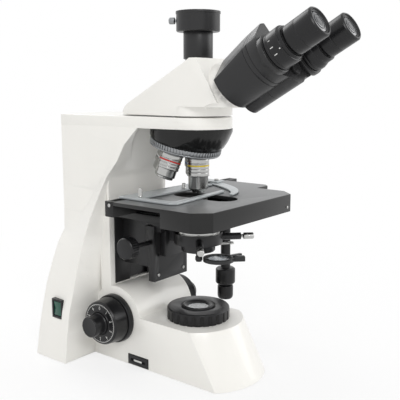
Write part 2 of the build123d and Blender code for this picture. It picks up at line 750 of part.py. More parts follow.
with BuildPart() as x_drive_knob:
    turned(
        control,
        [
            (0, control_bottom),
            (control_lower_r - 4, control_bottom),
            (control_lower_r - 1, control_bottom + 2),
            (control_lower_r, control_bottom + 5),
            (control_lower_r, control_split - 1),
            (control_lower_r - 1, control_split),
            (control_core_r, control_split),
            (control_core_r, plate_low - slide_gap),
            (0, plate_low - slide_gap),
        ],
    )
    with BuildSketch(Plane.XY.offset(control_bottom + 6)) as grip:
        with Locations((control_x, control_y)):
            with PolarLocations(control_lower_r + 0.5, 22):
                Circle(0.9)
    extrude(grip.sketch, amount=control_split - control_bottom - 8, mode=Mode.SUBTRACT)
x_drive_knob.part.label = "x_drive_knob"
export_step(x_drive_knob.part, "parts/x_drive_knob.step")

# Condenser guide on the bracket's front, its focusing knob and the holder that slides on it.
with BuildPart() as condenser_guide:
    block((-carrier_half, carrier_front, carrier_bottom), (carrier_half, carrier_back, web_step_z - seat))
    block((-carrier_half, carrier_front, 138), (-web_outer - seat, 53, 163))
    disc(along_x(condenser_knob_y, condenser_knob_z), 2.5 + running, -30, -8, mode=Mode.SUBTRACT)
    # Four screws' counterbores in the front.
    for screw_x in (-22, 22):
        for screw_z in (106, 130):
            face = Plane(origin=(screw_x, carrier_front, screw_z), x_dir=(1, 0, 0), z_dir=(0, -1, 0))
            disc(face, 2.2, -2.0, 1.0, mode=Mode.SUBTRACT)
condenser_guide.part.label = "condenser_guide"
export_step(condenser_guide.part, "parts/condenser_guide.step")

with BuildPart() as condenser_knob:
    knob_plane = along_x(condenser_knob_y, condenser_knob_z)
    turned(
        knob_plane,
        [
            (0, -71),
            (condenser_knob_r - 1.5, -71),
            (condenser_knob_r, -69.5),
            (condenser_knob_r, -59),
            (condenser_knob_r - 1.5, -57.5),
            (6, -57.5),
            (6, -52),
            (2.5, -52),
            (2.5, -10),
            (0, -10),
        ],
    )
    with BuildSketch(knob_plane.offset(-68.5)) as grip:
        with PolarLocations(condenser_knob_r + 0.5, 26):
            Circle(0.95)
    extrude(grip.sketch, amount=8.5, mode=Mode.SUBTRACT)
condenser_knob.part.label = "condenser_knob"
export_step(condenser_knob.part, "parts/condenser_knob.step")

slide_half = web_outer - web_wall - 1.5
with BuildPart() as condenser_holder:
    block((-slide_half, carrier_front - slide_gap - 8, 128), (slide_half, carrier_front - slide_gap, holder_ring_high))
    block((-12, 10, holder_ring_low), (12, carrier_front - slide_gap - 4, holder_ring_high))
    disc(Plane.XY, holder_ring_r, holder_ring_low, holder_ring_high)
    disc(Plane.XY, condenser_r + 2.5, holder_ring_low - 1, holder_ring_high + 1, mode=Mode.SUBTRACT)
    for angle in (-45, -140):
        screw_axis = Plane(
            origin=(0, 0, centring_z), x_dir=(0, 0, 1), z_dir=(cos(radians(angle)), sin(radians(angle)), 0)
        )
        disc(screw_axis, 3.9, holder_ring_r - 2, 48 if angle == -45 else 60)
        disc(screw_axis, 1.8 + running, 10, 70, mode=Mode.SUBTRACT)
condenser_holder.part.label = "condenser_holder"
export_step(condenser_holder.part, "parts/condenser_holder.step")

for angle, name, start in ((-45, "centring_screw_right", 48.3), (-140, "centring_screw_left", 60.3)):
    axis_plane = Plane(
        origin=(0, 0, centring_z), x_dir=(0, 0, 1), z_dir=(cos(radians(angle)), sin(radians(angle)), 0)
    )
    with BuildPart() as screw:
        disc(axis_plane, 1.8, condenser_r + slide_gap, start + 13)
        turned(
            axis_plane,
            [
                (0, start + 2),
                (1.8, start + 2),
                (3.7, start + 3),
                (3.7, start + 13.5),
                (3.0, start + 14.5),
                (0, start + 14.5),
            ],
        )
    screw.part.label = name
    export_step(screw.part, f"parts/{name}.step")

with BuildPart() as condenser_body:
    turned(
        Plane.XY,
        [
            (8.5, condenser_low),
            (condenser_r - 1, condenser_low),
            (condenser_r, condenser_low + 1),
            (condenser_r, holder_ring_high + 3),
            (condenser_r - 2, holder_ring_high + 6),
            (condenser_r - 4, holder_ring_high + 18),
            (11, condenser_high - 4),
            (9.5, condenser_high),
            (8.0, condenser_high),
            (8.0, condenser_high - 5),
            (8.5, condenser_high - 5),
        ],
    )
    # The ring of the holder's spring seat.
    turned(
        Plane.XY,
        [
            (condenser_r - 1, holder_ring_high),
            (condenser_r + 5, holder_ring_high),
            (condenser_r + 5, holder_ring_high + 2.5),
            (condenser_r - 1, holder_ring_high + 2.5),
        ],
    )
    # The slot of the iris lever.
    with BuildSketch(Plane.XY.offset(140.4)) as lever_way:
        with BuildLine():
            outer = CenterArc((0, 0), 30, lever_rest - lever_swing - lever_play, 2 * (lever_swing + lever_play))
            inner = CenterArc((0, 0), 14, lever_rest + lever_swing + lever_play, -2 * (lever_swing + lever_play))
            Line(outer @ 1, inner @ 0)
            Line(inner @ 1, outer @ 0)
        make_face()
    extrude(lever_way.sketch, amount=2.8, mode=Mode.SUBTRACT)
    # The pivot of the filter holder.
    disc(upright(*filter_pivot), 1.8, filter_z - 1.2, condenser_low + 1)
    disc(upright(*filter_pivot), 3.2, filter_z - 1.4, filter_z - 0.3)
    disc(upright(*filter_pivot), 3.2, filter_z + 4.3, condenser_low + 1)
condenser_body.part.label = "condenser_body"
export_step(condenser_body.part, "parts/condenser_body.step")

with BuildPart() as condenser_lens:
    disc(Plane.XY, 8.0, condenser_high - 5, condenser_high - 0.3)
condenser_lens.part.label = "condenser_lens"
export_step(condenser_lens.part, "parts/condenser_lens.step")

with BuildPart() as iris_lever:
    lever_z = 140.8
    lever_way = (cos(radians(lever_rest)), sin(radians(lever_rest)), 0)
    lever = Plane(origin=(0, 0, lever_z), x_dir=lever_way, z_dir=(0, 0, 1))
    with BuildSketch(lever) as arm_area:
        with Locations((26.5, 0)):
            Rectangle(23, 4)
        with Locations((40, 0)):
            Circle(3.6)
        with Locations((40, 0)):
            Circle(1.8, mode=Mode.SUBTRACT)
    extrude(arm_area.sketch, amount=2.0)
iris_lever.part.label = "iris_lever"
export_step(iris_lever.part, "parts/iris_lever.step")

with BuildPart() as filter_holder:
    with BuildSketch(Plane.XY.offset(filter_z)) as swing:
        with Locations(filter_centre):
            Circle(17.0)
            Circle(13.0, mode=Mode.SUBTRACT)
        with Locations(filter_pivot):
            Circle(4.0)
            Circle(1.8 + running, mode=Mode.SUBTRACT)
        with Locations((filter_centre[0] + 23.0, filter_centre[1] - 7.0)):
            SlotOverall(16, 5, rotation=-17)
    extrude(swing.sketch, amount=4.0)
    with BuildSketch(Plane.XY.offset(filter_z)) as ledge:
        with Locations(filter_centre):
            Circle(14.0)
            Circle(11.5, mode=Mode.SUBTRACT)
    extrude(ledge.sketch, amount=1.0)
filter_holder.part.label = "filter_holder"
export_step(filter_holder.part, "parts/filter_holder.step")

with BuildPart() as filter_glass:
    disc(upright(*filter_centre), 13.0 - seat, filter_z + 1.0, filter_z + 3.2)
filter_glass.part.label = "filter_glass"
export_step(filter_glass.part, "parts/filter_glass.step")

# Nosepiece: a fixed shell under the top plate and a tilted turret that turns in it.
with BuildPart() as nosepiece_shell:
    rim_h = turret_top_h - slide_gap
    turned(
        across_turret(0),
        [
            (0, rim_h),
            (turret_r - 1.2, rim_h),
            (turret_r - 0.4, rim_h - 1.0),
            (turret_r + 2.2, rim_h - 4.0),
            (turret_r + 5.0, rim_h - 11.0),
            (turret_r + 7.4, rim_h - 21.0),
            (turret_r + 8.4, rim_h - 31.0),
            (turret_r + 8.4, -70.0),
            (0, -70.0),
        ],
    )
    with BuildSketch(Plane.XY.offset(220)) as shell_plan:
        with Locations((0, 10)):
            SlotOverall(2 * shell_r + 20, 2 * shell_r, rotation=90)
    extrude(shell_plan.sketch, amount=arm_top - 220, mode=Mode.INTERSECT)
    # Light path and the turret's centre bore.
    disc(Plane.XY, 9.0, 235, arm_top + 1, mode=Mode.SUBTRACT)
    disc(across_turret(0), 5.0 + running, turret_top_h - 8, 2, mode=Mode.SUBTRACT)
nosepiece_shell.part.label = "nosepiece_shell"
export_step(nosepiece_shell.part, "parts/nosepiece_shell.step")

with BuildPart() as turret:
    turned(
        across_turret(0),
        [
            (0, turret_top_h),
            (turret_r, turret_top_h),
            (turret_r, turret_low_h - 0.8),
            (turret_r - 0.8, turret_low_h),
            (10, -2.0),
            (0, -2.0),
        ],
    )
    disc(across_turret(0), 5.0, turret_top_h - 7, turret_top_h)
    for place in range(positions):
        spot = objective_plane(place)
        disc(spot, objective_r + 0.6, -7.0, 1.0)
        disc(spot, 8.0, -24.0, 2.0, mode=Mode.SUBTRACT)
    with BuildSketch(across_turret(turret_top_h + 1.2)) as grip:
        with PolarLocations(turret_r + 0.5, 60):
            Circle(1.0)
    extrude(grip.sketch, amount=turret_low_h - turret_top_h - 2.4, mode=Mode.SUBTRACT)
turret.part.label = "turret"
export_step(turret.part, "parts/turret.step")

# Objectives: name, length from the seat, and the outline below the barrel as (radius, height) points.
objectives = [
    ("objective_10x", 38.2, [(12.1, 20.0), (10.9, 20.6), (10.9, 34.0), (9.5, 35.2), (6.8, 35.6), (6.0, 38.2)]),
    ("objective_4x", 28.5, [(12.1, 17.0), (10.9, 17.6), (10.9, 25.4), (9.3, 26.4), (8.4, 28.5)]),
    ("objective_100x", 38.4, [(12.1, 19.0), (10.9, 19.6), (10.9, 29.0), (6.4, 33.0), (6.0, 37.0), (3.2, 38.4)]),
    ("objective_40x", 38.4, [(12.1, 18.0), (10.9, 18.6), (10.9, 28.0), (6.6, 32.0), (5.2, 37.0), (3.4, 38.4)]),
]
for place, (name, length, lower) in enumerate(objectives):
    spot = objective_plane(place)
    with BuildPart() as objective:
        turned(spot, [(0, 1.0), (objective_r, 1.0)] + lower + [(0, length)])
        disc(spot, 8.0 - running, -4.0, 1.0)
        disc(spot, 2.4, length - 2.0, length + 1, mode=Mode.SUBTRACT)
    objective.part.label = name
    export_step(objective.part, f"parts/{name}.step")

with BuildPart() as objective_lenses:
    for place, (name, length, lower) in enumerate(objectives):
        disc(objective_plane(place), 2.4, length - 2.0, length - 0.2)
objective_lenses.part.label = "objective_lenses"
export_step(objective_lenses.part, "parts/objective_lenses.step")

# Head: a sloped roof over a round front flange, with a short neck towards the eyepieces.
head_back = 98.0
with BuildPart() as head_body:
    with BuildSketch(Plane.XY.offset(head_bottom)) as head_plan:
        with BuildLine():
            Line((-head_half, -70), (-head_half, 70))
            ThreePointArc((-head_half, 70), (0, head_back), (head_half, 70))
            Line((head_half, 70), (head_half, -70))
            Line((head_half, -70), (-head_half, -70))
        make_face()
    extrude(head_plan.sketch, amount=80)
    side = Plane(origin=(0, 0, 0), x_dir=(0, 1, 0), z_dir=(1, 0, 0))
    with BuildSketch(side) as head_side:
        with BuildLine():
            Polyline(
                (-36, head_bottom + 10),
                (-36, head_bottom),
                (head_back + 1, head_bottom),
                (head_back + 1, head_bottom + 1.5),
                (88, head_bottom + 2.5),
                (-10, photo_tube_low - 4.5),
                (-17, photo_tube_low),
                (-26.4, photo_tube_low),
                (-52.5, 300.8),
            )
            ThreePointArc((-52.5, 300.8), (-42.0, 299.6), (-36, head_bottom + 10))
        make_face()
    extrude(head_side.sketch, amount=100, both=True, mode=Mode.INTERSECT)
    # The round front flange.
    block((-50, -80, head_bottom - 1), (50, 0, head_bottom + 10), mode=Mode.SUBTRACT)
    disc(Plane.XY, head_half, head_bottom, head_bottom + 10)
    # The neck.
    hinge = across_tubes(head_face_s, w=1.4)
    turned(
        hinge,
        [(0, -16), (36, -16), (36, -1), (34.5, 4), (31, 8), (30, housing_back_s - head_face_s), (0, 13)],
    )
    block((-60, -120, head_bottom - 30), (60, -20, head_bottom - 0.01), mode=Mode.SUBTRACT)
    block((-60, -120, head_bottom - 30), (60, -37.2, head_bottom + 10), mode=Mode.SUBTRACT)
    # Light paths, the dovetail under the head and the seat of the photo tube.
    disc(Plane.XY, 14.0, head_bottom - 12, 330, mode=Mode.SUBTRACT)
    disc(Plane.XY, photo_tube_r - 2 + running, 320, 360, mode=Mode.SUBTRACT)
    turned(
        Plane.XY,
        [(14, head_bottom + 1), (14, head_bottom - 7), (27.5, head_bottom - 7), (25.5, head_bottom - 1), (25.5, head_bottom + 1)],
    )
    disc(along_x(8, 318), 2.5 + running, 12, head_half + 1, mode=Mode.SUBTRACT)
    # The pin that the two prism housings swing on.
    turned(
        across_tubes(housing_back_s, w=hinge_w),
        [(0, -2), (5, -2), (5, 60 + slide_gap), (7.5, 60 + slide_gap), (7.5, 63), (0, 63)],
    )
head_body.part.label = "head_body"
export_step(head_body.part, "parts/head_body.step")

def lobe_sketch(side, plane, hollow):
    """The section of a prism housing, cut away for the other housing's swing."""
    with BuildSketch(plane) as lobe:
        with Locations((side * lobe_x, lobe_w)):
            Circle(lobe_r)
        with BuildLine():
            Polyline(
                (0, hinge_w),
                (side * 90 * tan(radians(swing_in + 1)), hinge_w + 90),
                (-side * 90, hinge_w + 90),
                (-side * 90, hinge_w - 90),
                (side * 90 * tan(radians(swing_out + 1)), hinge_w - 90),
                close=True,
            )
        make_face(mode=Mode.SUBTRACT)
        if hollow:
            with Locations((0, hinge_w)):
                Circle(disc_r + slide_gap, mode=Mode.SUBTRACT)
    return lobe.sketch


def housing_part(side, low, high):
    """One prism housing: a lobe over its full depth and its leaf of the hinge between two depths."""
    back = housing_back_s + slide_gap
    extrude(lobe_sketch(side, across_tubes(back), hollow=True), amount=housing_front_s - back)
    extrude(lobe_sketch(side, across_tubes(low), hollow=False), amount=high - low)
    pivot = across_tubes(0, w=hinge_w)
    disc(pivot, disc_r, low, high)
    disc(pivot, 5.0 + running, low - 1, high + 1, mode=Mode.SUBTRACT)


leaf_split = (housing_back_s + housing_front_s) / 2
leaves = (
    (-1, "prism_housing_left", housing_back_s + slide_gap, leaf_split - slide_gap / 2),
    (1, "prism_housing_right", leaf_split + slide_gap / 2, housing_front_s),
)
for side, name, low, high in leaves:
    with BuildPart() as housing:
        housing_part(side, low, high)
        eye_axis = across_tubes(0, x=side * eye_x)
        disc(eye_axis, 11.0, housing_front_s - 30, housing_front_s + 1, mode=Mode.SUBTRACT)
        disc(eye_axis, 13.0, housing_front_s - 6, housing_front_s + 1, mode=Mode.SUBTRACT)
    housing.part.label = name
    export_step(housing.part, f"parts/{name}.step")

# Eyepiece tubes with a collar, diopter ring and eyepiece on each side.
tube_start, tube_end = housing_front_s, -33.0


def sleeve_outline(inner, low, high):
    """The outline of the sleeve round a tube: the left one turns, the right one is fixed."""
    return [
        (inner, low),
        (18.8, low),
        (18.8, tube_start + 12),
        (17.0, tube_start + 18),
        (16.6, high),
        (inner, high),
    ]


with BuildPart() as diopter_ring:
    axis = across_tubes(0, x=-eye_x)
    turned(axis, sleeve_outline(14.3 + running, tube_start + 6 + slide_gap, tube_end - slide_gap))
diopter_ring.part.label = "diopter_ring"
export_step(diopter_ring.part, "parts/diopter_ring.step")

for side, word in ((-1, "left"), (1, "right")):
    axis = across_tubes(0, x=side * eye_x)
    with BuildPart() as tube:
        turned(
            axis,
            [
                (11.0, tube_start - 6),
                (11.0, tube_end),
                (14.3, tube_end),
                (14.3, tube_start + 6),
                (19.5, tube_start + 6),
                (20.5, tube_start + 4.5),
                (20.5, tube_start),
                (13.0, tube_start),
                (13.0, tube_start - 6),
            ],
        )
        if side == 1:
            turned(axis, sleeve_outline(14.2, tube_start + 5.9, tube_end))
    tube.part.label = f"eyepiece_tube_{word}"
    export_step(tube.part, f"parts/eyepiece_tube_{word}.step")

    with BuildPart() as eyepiece:
        turned(
            axis,
            [
                (0, -48),
                (11.0 - running, -48),
                (11.0 - running, tube_end),
                (13.6, tube_end),
                (13.6, tube_end + 2),
                (eyepiece_r, tube_end + 2),
                (eyepiece_r, -1.5),
                (eyepiece_r - 1.5, 0),
                (12.2, 0),
                (11.0, -2.5),
                (0, -2.5),
            ],
        )
    eyepiece.part.label = f"eyepiece_{word}"
    export_step(eyepiece.part, f"parts/eyepiece_{word}.step")

    with BuildPart() as lens:
        disc(axis, 10.0, -2.5, -1.2)
    lens.part.label = f"eye_lens_{word}"
    export_step(lens.part, f"parts/eye_lens_{word}.step")

# Photo tube with its camera flange.
with BuildPart() as photo_tube:
    turned(
        Plane.XY,
        [
            (photo_tube_r - 4, 322),
            (photo_tube_r - 2, 322),
            (photo_tube_r - 2, photo_tube_low),
            (photo_tube_r, photo_tube_low),
            (photo_tube_r, photo_flange_low),
            (photo_tube_r - 4, photo_flange_low),
        ],
    )
photo_tube.part.label = "photo_tube"
export_step(photo_tube.part, "parts/photo_tube.step")

screw_z = photo_top - 9
with BuildPart() as camera_flange:
    turned(
        Plane.XY,
        [
            (photo_tube_r - 4, photo_flange_low),
            (photo_flange_r - 1, photo_flange_low),
            (photo_flange_r, photo_flange_low + 1),
            (photo_flange_r, photo_top - 3),
            (photo_flange_r + 0.5, photo_top - 2.5),
            (photo_flange_r + 0.5, photo_top),
            (photo_bore_r + 1, photo_top),
            (photo_bore_r, photo_top - 1),
            (photo_bore_r, photo_top - photo_bore_depth),
            (photo_tube_r - 4, photo_top - photo_bore_depth),
        ],
    )
    clamp = Plane(origin=(0, 0, screw_z), x_dir=(0, 0, 1), z_dir=(-0.4, 0.92, 0))
    disc(clamp, 1.6, photo_bore_r - 2, photo_flange_r + 2, mode=Mode.SUBTRACT)
camera_flange.part.label = "camera_flange"
export_step(camera_flange.part, "parts/camera_flange.step")

with BuildPart() as port_screw:
    disc(clamp, 1.6 - running, photo_bore_r + 0.3, photo_flange_r + 4)
    turned(
        clamp,
        [
            (0, photo_flange_r + 2),
            (2.0, photo_flange_r + 2),
            (3.6, photo_flange_r + 2.6),
            (3.6, photo_flange_r + 8),
            (3.0, photo_flange_r + 8.6),
            (0, photo_flange_r + 8.6),
        ],
    )
port_screw.part.label = "port_screw"
export_step(port_screw.part, "parts/port_screw.step")

with BuildPart() as splitter_rod:
    rod = along_x(8, 318)
    disc(rod, 2.5, head_half - 14, head_half + 10)
    turned(
        rod,
        [
            (0, head_half + 8),
            (4.5, head_half + 8),
            (5.0, head_half + 9),
            (5.0, head_half + 14),
            (4.0, head_half + 15),
            (0, head_half + 15),
        ],
    )
splitter_rod.part.label = "splitter_rod"
export_step(splitter_rod.part, "parts/splitter_rod.step")
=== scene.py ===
import json
import math

import bpy
from mathutils import Matrix, Vector


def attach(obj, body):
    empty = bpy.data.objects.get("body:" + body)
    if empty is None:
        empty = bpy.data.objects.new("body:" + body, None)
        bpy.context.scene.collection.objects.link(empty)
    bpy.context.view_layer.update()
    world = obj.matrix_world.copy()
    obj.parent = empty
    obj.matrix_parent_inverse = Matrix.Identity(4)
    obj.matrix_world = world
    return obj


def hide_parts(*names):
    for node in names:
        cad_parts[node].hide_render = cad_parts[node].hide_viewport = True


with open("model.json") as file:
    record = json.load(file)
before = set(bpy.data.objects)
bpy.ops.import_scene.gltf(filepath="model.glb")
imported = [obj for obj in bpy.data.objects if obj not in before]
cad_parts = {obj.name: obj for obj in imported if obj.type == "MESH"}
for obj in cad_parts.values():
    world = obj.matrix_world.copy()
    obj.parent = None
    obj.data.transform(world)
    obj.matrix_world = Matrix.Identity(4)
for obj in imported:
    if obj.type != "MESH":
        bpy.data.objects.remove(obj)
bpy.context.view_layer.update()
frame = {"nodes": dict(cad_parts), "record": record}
mm = 0.001

# Shared places, as in the part's source.
focus_centre = Vector((0, 84.4, 53.0)) * mm
tube_tilt = math.radians(30)
tube_axis = Vector((0, -math.cos(tube_tilt), math.sin(tube_tilt)))
tube_up = Vector((0, math.sin(tube_tilt), math.cos(tube_tilt)))
eye_point = Vector((0, -161, 374.5)) * mm
housing_back = -118
turret_lean = math.radians(14)
turret_down = Vector((0, math.sin(turret_lean), -math.cos(turret_lean)))
turret_back = Vector((0, math.cos(turret_lean), math.sin(turret_lean)))
turret_centre = Vector((0, 0, 241)) * mm + turret_back * 20 * mm


# Materials

class Wire:
    """A value inside a material, which ordinary sums can use."""

    def __init__(self, finish, socket):
        self.finish = finish
        self.socket = socket

    def sum(self, operation, *others):
        return self.finish.node("ShaderNodeMath", {"operation": operation}, *[self, *others])

    def __add__(self, other):
        return self.sum("ADD", other)

    __radd__ = __add__

    def __sub__(self, other):
        return self.sum("SUBTRACT", other)

    def __rsub__(self, other):
        return self.sum("MULTIPLY", -1.0) + other

    def __mul__(self, other):
        return self.sum("MULTIPLY", other)

    __rmul__ = __mul__

    def __truediv__(self, other):
        return self.sum("DIVIDE", other)

    def __gt__(self, other):
        return self.sum("GREATER_THAN", other)

    def __lt__(self, other):
        return self.sum("LESS_THAN", other)

    def clamp(self):
        return self.finish.node("ShaderNodeClamp", {}, self)

    def sine(self):
        return self.sum("SINE")

    def power(self, other):
        return self.sum("POWER", other)


class Finish:
    """A procedural material on the Principled shader."""

    def __init__(self, name, colour, roughness=0.4, metallic=0.0, coat=0.0, transmission=0.0, ior=1.5, shine=0.5):
        self.material = bpy.data.materials.new(name)
        self.material.use_nodes = True
        self.tree = self.material.node_tree
        self.shader = self.tree.nodes["Principled BSDF"]
        self.output = self.tree.nodes["Material Output"]
        self.colour = (*colour, 1.0)
        self.set("Base Color", self.colour)
        self.set("Roughness", roughness)
        self.set("Metallic", metallic)
        self.set("Coat Weight", coat)
        self.set("Coat Roughness", 0.12)
        self.set("Transmission Weight", transmission)
        self.set("IOR", ior)
        self.set("Specular IOR Level", shine)
        self.place = self.node("ShaderNodeTexCoord", {}, out="Object")

    def set(self, socket, value):
        """Put a number, colour or wire on one of the shader's sockets."""
        if isinstance(value, Wire):
            self.tree.links.new(value.socket, self.shader.inputs[socket])
        else:
            self.shader.inputs[socket].default_value = value

    def node(self, kind, settings, *values, out=0, **named):
        """Add one node: its settings first, then the values or wires of its sockets."""
        node = self.tree.nodes.new(kind)
        for key, value in settings.items():
            if key == "stops":
                ramp = node.color_ramp
                while len(ramp.elements) < len(value):
                    ramp.elements.new(0.5)
                for element, (place, colour) in zip(ramp.elements, value):
                    element.position = place
                    element.color = colour
            else:
                setattr(node, key, value)
        pairs = [(node.inputs[i], v) for i, v in enumerate(values)]
        pairs += [(node.inputs[k.replace("_", " ")], v) for k, v in named.items()]
        for socket, value in pairs:
            if value is None:
                continue
            if isinstance(value, Wire):
                self.tree.links.new(value.socket, socket)
            else:
                socket.default_value = value
        return Wire(self, node.outputs[out])

    def noise(self, scale, detail=4.0, roughness=0.55, stretch=None):
        """Noise on the object's own coordinates, with an optional stretch along each axis."""
        place = self.place
        if stretch:
            place = self.node("ShaderNodeMapping", {}, Vector=place, Scale=stretch)
        return self.node(
            "ShaderNodeTexNoise", {}, Vector=place, Scale=scale, Detail=detail, Roughness=roughness, out="Fac"
        )

    def mix(self, factor, first, second):
        """Blend two colours by a factor."""
        node = self.tree.nodes.new("ShaderNodeMix")
        node.data_type = "RGBA"
        for index, value in ((0, factor), (6, first), (7, second)):
            if isinstance(value, Wire):
                self.tree.links.new(value.socket, node.inputs[index])
            else:
                node.inputs[index].default_value = value
        return Wire(self, node.outputs[2])

    def bump(self, height, strength=0.2, distance=0.0002):
        """Raise the surface by a height."""
        normal = self.node(
            "ShaderNodeBump", {}, Strength=strength, Distance=distance, Height=height, out="Normal"
        )
        self.set("Normal", normal)

    def vary(self, amount, scale=40.0):
        """Shift the colour and the gloss a little over the surface."""
        drift = self.noise(scale, 3.0)
        darker = tuple(c * (1 - amount) for c in self.colour[:3]) + (1.0,)
        self.set("Base Color", self.mix(drift, darker, self.colour))
        rough = self.shader.inputs["Roughness"].default_value
        self.set("Roughness", self.noise(scale * 3, 4.0) * (0.35 * rough) + rough * 0.82)
        return self


def painted(name, colour, roughness, grain, depth, coat=0.0, amount=0.05, shine=0.5):
    """Paint or moulded plastic with a fine grain."""
    finish = Finish(name, colour, roughness, coat=coat, shine=shine)
    finish.vary(amount)
    finish.bump(finish.noise(grain, 3.0, 0.5), 0.25, depth)
    return finish


def turned_metal(name, colour, roughness, axis, amount=0.12):
    """Metal off the lathe, with fine rings along its axis."""
    finish = Finish(name, colour, roughness, metallic=1.0)
    stretch = tuple(60.0 if i == axis else 1.5 for i in range(3))
    rings = finish.noise(55.0, 3.0, 0.6, stretch)
    darker = tuple(c * (1 - amount) for c in finish.colour[:3]) + (1.0,)
    finish.set("Base Color", finish.mix(rings, darker, finish.colour))
    finish.set("Roughness", rings * 0.16 + roughness * 0.75)
    finish.bump(rings, 0.12, 0.00004)
    return finish


def clear_glass(name, colour, roughness=0.03):
    """Coated lens glass."""
    finish = Finish(name, colour, roughness, transmission=0.85, ior=1.5, coat=0.5)
    finish.set("Roughness", finish.noise(30.0) * 0.02 + roughness)
    return finish


enamel = painted("cream_enamel", (0.90, 0.885, 0.84), 0.3, 900.0, 0.00002, coat=0.3, amount=0.02)
black_paint = painted("black_satin_paint", (0.02, 0.02, 0.021), 0.34, 1500.0, 0.00003, shine=0.38)
shell_black = painted("black_gloss_shell", (0.008, 0.008, 0.008), 0.2, 700.0, 0.00001, shine=0.3)
stage_black = painted("black_stage_lacquer", (0.014, 0.014, 0.014), 0.3, 1500.0, 0.00002, shine=0.3)
# Upward faces of the stage: a lighter grey than the black lacquer, a painted reflection of the bright surroundings at a
# grazing angle.
stage_top = Finish("grey_ground_stage_top", (0.12, 0.124, 0.127), 0.33)
stage_top.set("Base Color", stage_top.mix(stage_top.noise(12.0, 2.0), (0.11, 0.113, 0.116, 1.0), stage_top.colour))
black_plastic = painted("black_knob_plastic", (0.011, 0.011, 0.012), 0.3, 1500.0, 0.00003, shine=0.32)
rubber = painted("black_rubber", (0.012, 0.012, 0.012), 0.75, 700.0, 0.0001)
steel = turned_metal("satin_steel", (0.56, 0.56, 0.55), 0.3, 2)
# Flat upper faces of the prism housings: the black paint made lighter grey, a painted reflection of the bright
# surroundings.
facet_painted_reflection = painted("black_facet_paint", (0.13, 0.13, 0.132), 0.33, 1500.0, 0.00002, shine=0.5)
chrome = turned_metal("bright_chrome", (0.50, 0.50, 0.49), 0.14, 2)
plate_steel = painted("pale_plate_steel", (0.50, 0.53, 0.54), 0.35, 1200.0, 0.00002)
plate_steel.set("Metallic", 0.35)
grey_metal = turned_metal("satin_grey_metal", (0.33, 0.34, 0.35), 0.38, 2)
glass = clear_glass("lens_glass", (0.86, 0.9, 0.92))
filter_clear = clear_glass("frosted_filter_glass", (0.80, 0.86, 0.92), 0.25)
coated_glass = painted("coated_eye_glass", (0.035, 0.037, 0.042), 0.1, 60.0, 0.000002, coat=0.5, amount=0.25)
green_plastic = painted("green_rocker_plastic", (0.002, 0.075, 0.045), 0.25, 900.0, 0.00001, coat=0.2)
mark_white = painted("white_marking_ink", (0.70, 0.70, 0.68), 0.5, 1500.0, 0.00001)
ring_yellow = painted("yellow_ring_enamel", (0.80, 0.58, 0.03), 0.3, 900.0, 0.00001)
ring_red = painted("red_ring_enamel", (0.62, 0.03, 0.02), 0.3, 900.0, 0.00001)
ring_white = painted("white_ring_enamel", (0.80, 0.80, 0.78), 0.3, 900.0, 0.00001)
ring_blue = painted("blue_ring_enamel", (0.05, 0.18, 0.62), 0.3, 900.0, 0.00001)


# Shaping

def free():
    """Leave edit mode with nothing selected."""
    if bpy.context.mode != "OBJECT":
        bpy.ops.object.mode_set(mode="OBJECT")
    bpy.ops.object.select_all(action="DESELECT")


def only(piece):
    free()
    piece.select_set(True)
    bpy.context.view_layer.objects.active = piece


def settle(piece):
    """Put the piece's place into its mesh."""
    only(piece)
    bpy.ops.object.transform_apply(location=True, rotation=True, scale=True)


def apply_modifiers(piece):
    only(piece)
    for modifier in list(piece.modifiers):
        bpy.ops.object.modifier_apply(modifier=modifier.name)


def soften(piece, width, segments=2, angle=30):
    """Round the sharp edges and shade the rest smooth."""
    if width:
        bevel = piece.modifiers.new("edge", "BEVEL")
        bevel.width = width
        bevel.segments = segments
        bevel.limit_method = "ANGLE"
        bevel.angle_limit = math.radians(angle)
        bevel.harden_normals = False
        apply_modifiers(piece)
    only(piece)
    bpy.ops.object.shade_smooth_by_angle(angle=math.radians(38))


def give(piece, finish):
    piece.data.materials.clear()
    piece.data.materials.append(finish.material)


def dress(node, body, finish, width=0.0003, segments=2, angle=30, merge=0.00001):
    """A finished copy of a CAD node: merged, its flat faces joined, its edges rounded."""
    source = frame["nodes"][node]
    piece = source.copy()
    piece.data = source.data.copy()
    piece.name = node + "_shape"
    bpy.context.collection.objects.link(piece)
    piece.parent = None
    piece.matrix_world = Matrix.Identity(4)
    only(piece)
    bpy.ops.object.mode_set(mode="EDIT")
    bpy.ops.mesh.select_all(action="SELECT")
    bpy.ops.mesh.remove_doubles(threshold=merge)
    bpy.ops.mesh.dissolve_limited(angle_limit=math.radians(1.0))
    bpy.ops.object.mode_set(mode="OBJECT")
    soften(piece, width, segments, angle)
    give(piece, finish)
    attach(piece, body)
    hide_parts(node)
    return piece


